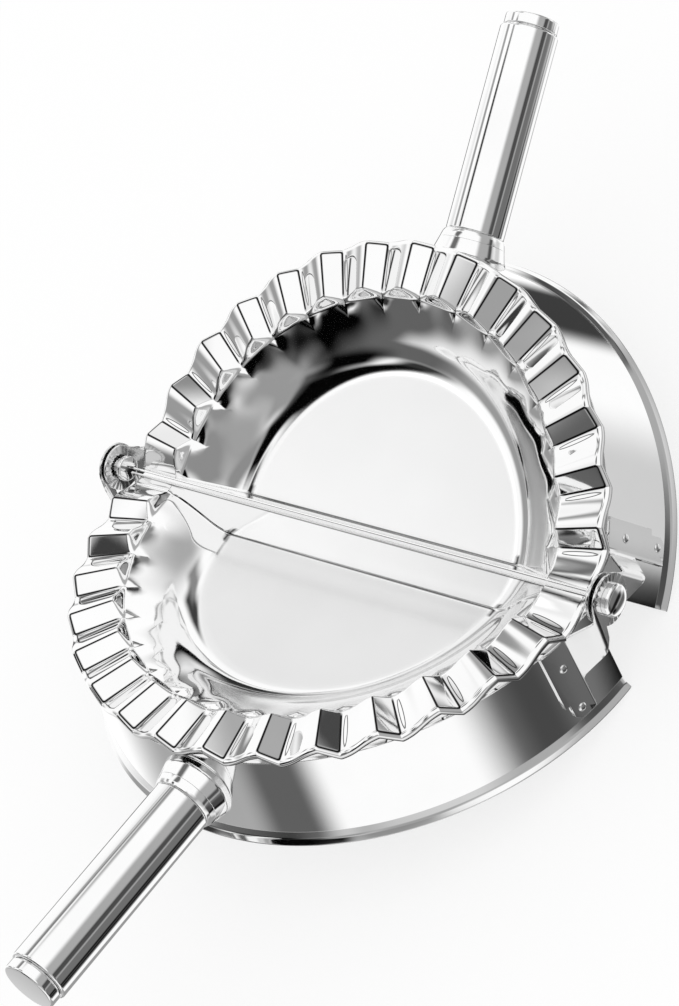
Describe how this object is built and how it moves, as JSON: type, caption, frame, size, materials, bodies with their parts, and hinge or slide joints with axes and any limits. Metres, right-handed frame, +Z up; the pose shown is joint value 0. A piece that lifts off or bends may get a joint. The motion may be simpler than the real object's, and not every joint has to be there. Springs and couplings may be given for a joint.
{
  "type": "empanada press",
  "caption": "Hinged metal press: two pleated half-round dough moulds on cutting rims, with a tubular handle on each half.",
  "frame": {"origin": "centre of the footprint, on the surface that the open press stands on", "axes": "+X along the hinge axis, to the right seen from the front handle; +Y from the front handle to the back handle; +Z up"},
  "size_m": [0.111, 0.1802, 0.0415],
  "materials": {
    "mould": "mirror-polished stainless steel",
    "skirt": "mirror-polished stainless steel",
    "handle": "polished stainless steel tube",
    "bracket": "satin stainless strip",
    "rivet": "polished steel"
  },
  "bodies": {
    "front_half": {"front_mould": "mould", "front_skirt": "skirt", "front_handle_neck": "handle", "front_handle_collar": "handle", "front_handle_tube": "handle", "front_handle_end_cap": "handle", "front_right_bracket": "bracket", "front_left_bracket": "bracket", "right_rivet": "rivet", "left_rivet": "rivet"},
    "back_half": {"back_mould": "mould", "back_skirt": "skirt", "back_handle_neck": "handle", "back_handle_collar": "handle", "back_handle_tube": "handle", "back_handle_end_cap": "handle", "back_right_bracket": "bracket", "back_left_bracket": "bracket"}
  },
  "joints": [
    {"name": "hinge", "type": "hinge", "parent": "front_half", "child": "back_half", "pos_m": [0, 0, 0.01865], "axis": [1, 0, 0], "range_deg": [-37, 143]}
  ]
}
